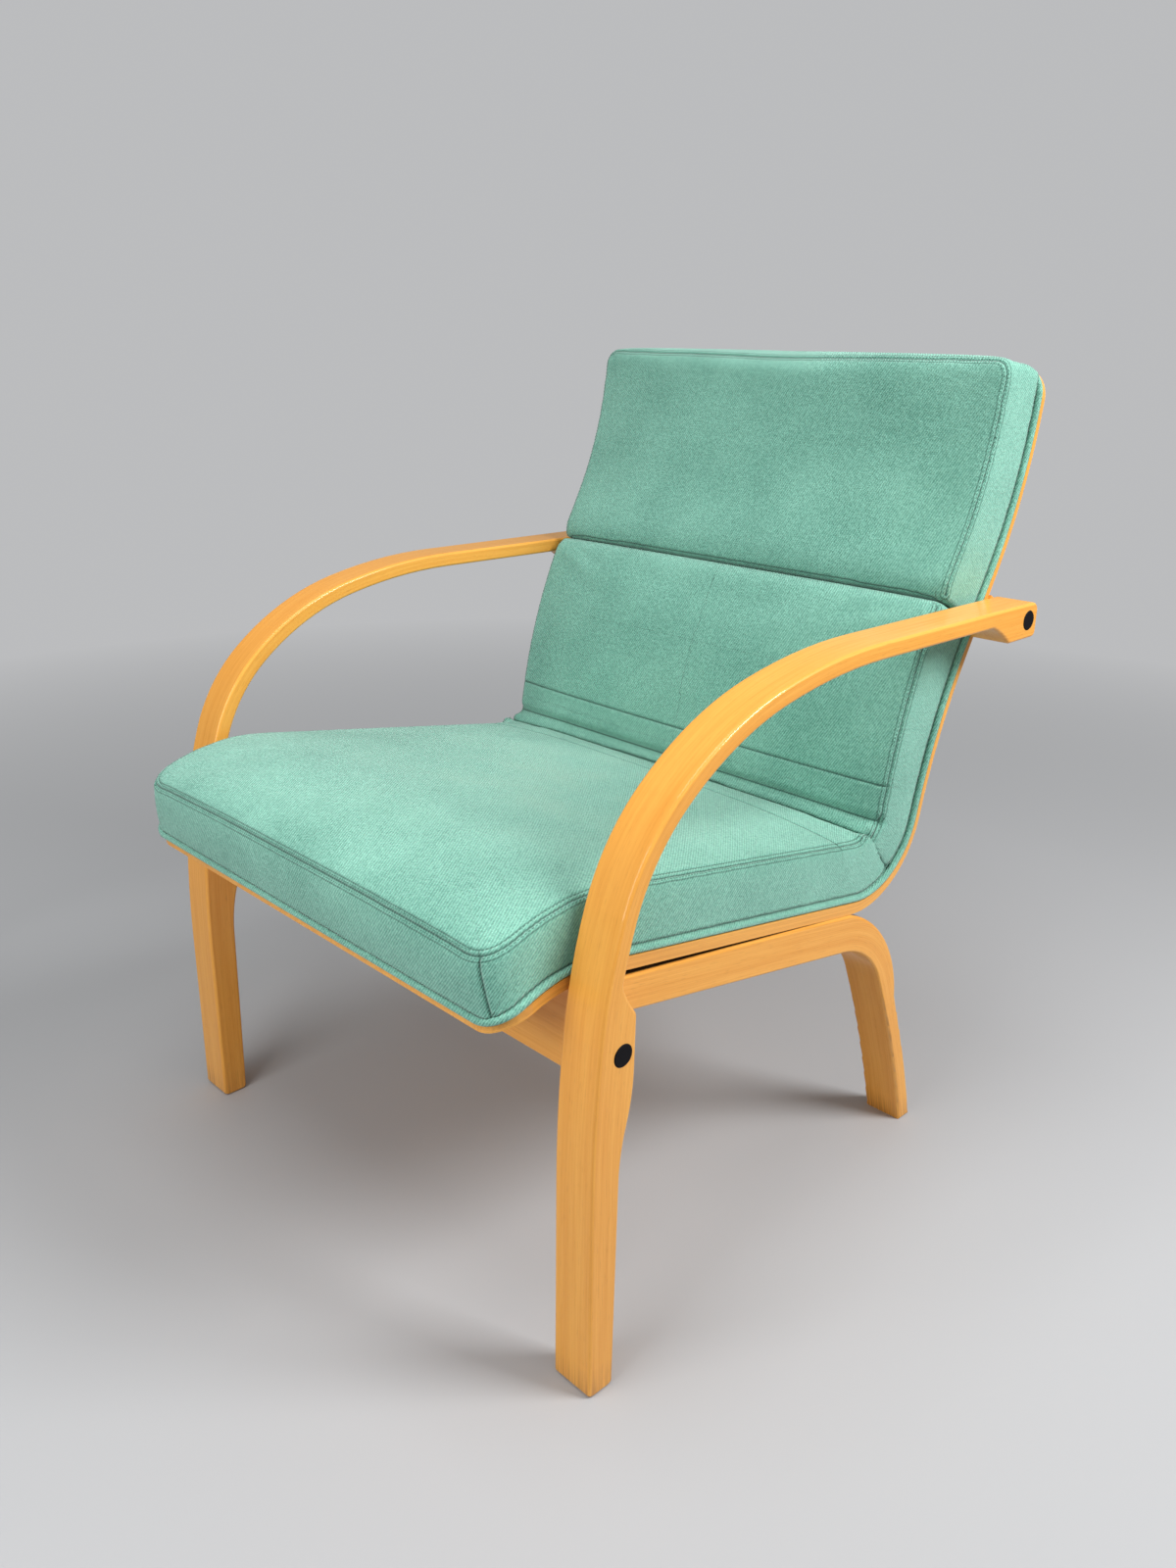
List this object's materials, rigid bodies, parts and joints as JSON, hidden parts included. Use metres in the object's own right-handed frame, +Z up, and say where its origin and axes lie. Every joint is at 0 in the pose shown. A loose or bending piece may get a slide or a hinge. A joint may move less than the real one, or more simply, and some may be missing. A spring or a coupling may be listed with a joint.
{
  "type": "bentwood lounge chair",
  "caption": "Low lounge chair with looping bent wood arms that run down into the front legs, bent rear legs and a padded green fabric seat and back on a curved plywood shell.",
  "frame": {"origin": "on the floor, under the middle of the chair's bounding box", "axes": "+Z up, the chair faces -Y, +X is the sitter's left"},
  "size_m": [0.6616, 0.7393, 0.8328],
  "materials": {
    "beech": "honey-coloured clear lacquer, satin",
    "shell_plywood": "clear lacquer with the plies showing on the edge",
    "cover_cloth": "sea-green wool twill",
    "black_plastic": "matt black",
    "fastener_steel": "zinc plated",
    "dowel_wood": "plain"
  },
  "bodies": {
    "root": {"arm_strip_left": "beech", "arm_strip_right": "beech", "leg_packing_left": "beech", "leg_packing_right": "beech", "arm_end_block_left": "beech", "arm_end_block_right": "beech", "rail_strip_left": "beech", "rail_strip_right": "beech", "rail_packing_left": "beech", "rail_packing_right": "beech", "front_crossbar": "beech", "rear_crossbar": "beech", "seat_shell": "shell_plywood", "seat_cushion": "cover_cloth", "back_cushion": "cover_cloth", "head_cushion": "cover_cloth", "frame_bolts": "fastener_steel", "bolt_washers": "fastener_steel", "bolt_caps": "black_plastic", "barrel_nuts": "fastener_steel", "rail_dowels": "dowel_wood", "seat_screws": "fastener_steel", "back_screws": "fastener_steel"}
  },
  "joints": []
}
